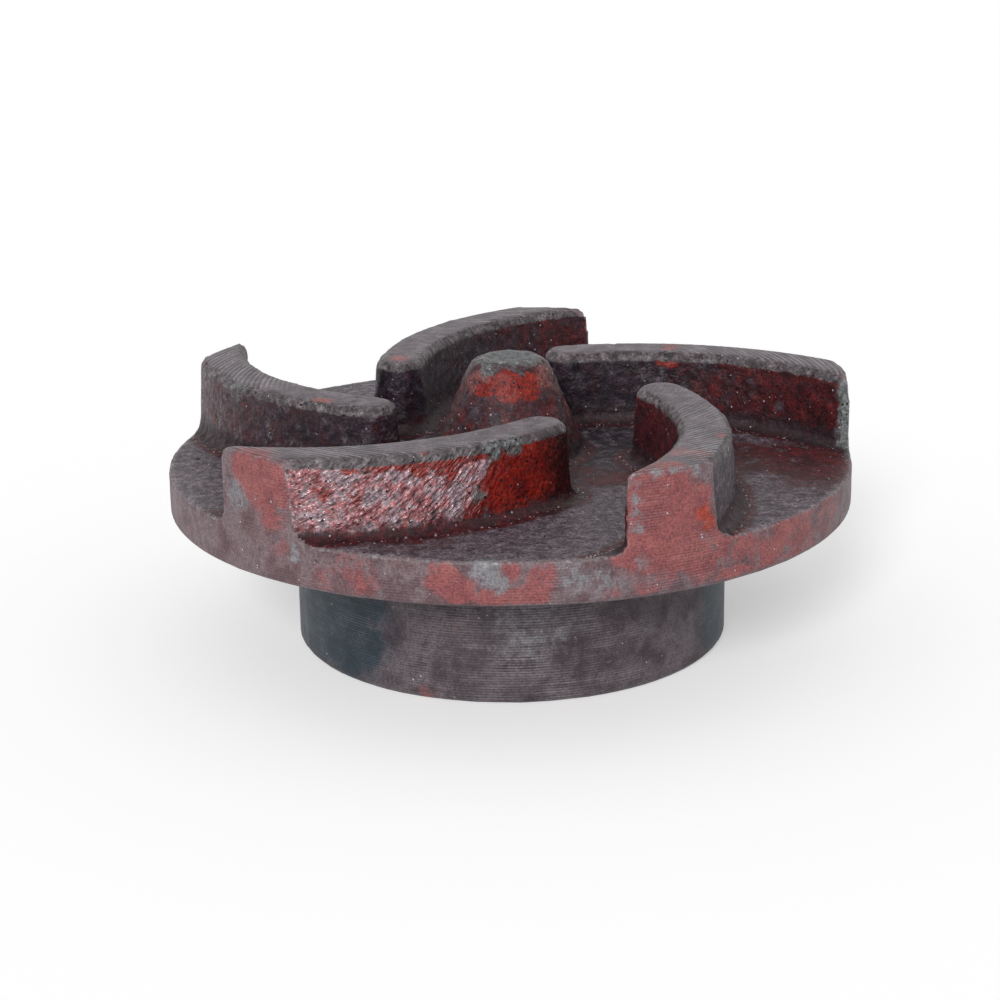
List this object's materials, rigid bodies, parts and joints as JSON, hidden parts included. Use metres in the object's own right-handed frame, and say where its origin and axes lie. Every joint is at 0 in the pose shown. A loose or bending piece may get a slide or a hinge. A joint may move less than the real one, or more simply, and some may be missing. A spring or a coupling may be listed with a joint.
{
  "type": "pump impeller",
  "caption": "Semi-open cast iron pump impeller: curved vanes and a closed nose cone on a disc, with a thick rear hub that screws on a shaft.",
  "frame": {"origin": "centre of the hub's rear face, on the shaft axis", "axes": "+Z along the shaft axis from the rear face towards the inlet; +X is the datum from which the vane tips' angles are counted"},
  "size_m": [0.12, 0.12, 0.0501],
  "materials": {
    "painted_iron": "worn red oxide and dark brown paint over sand-cast and turned grey iron"
  },
  "bodies": {
    "root": {"impeller": "painted_iron"}
  },
  "joints": []
}
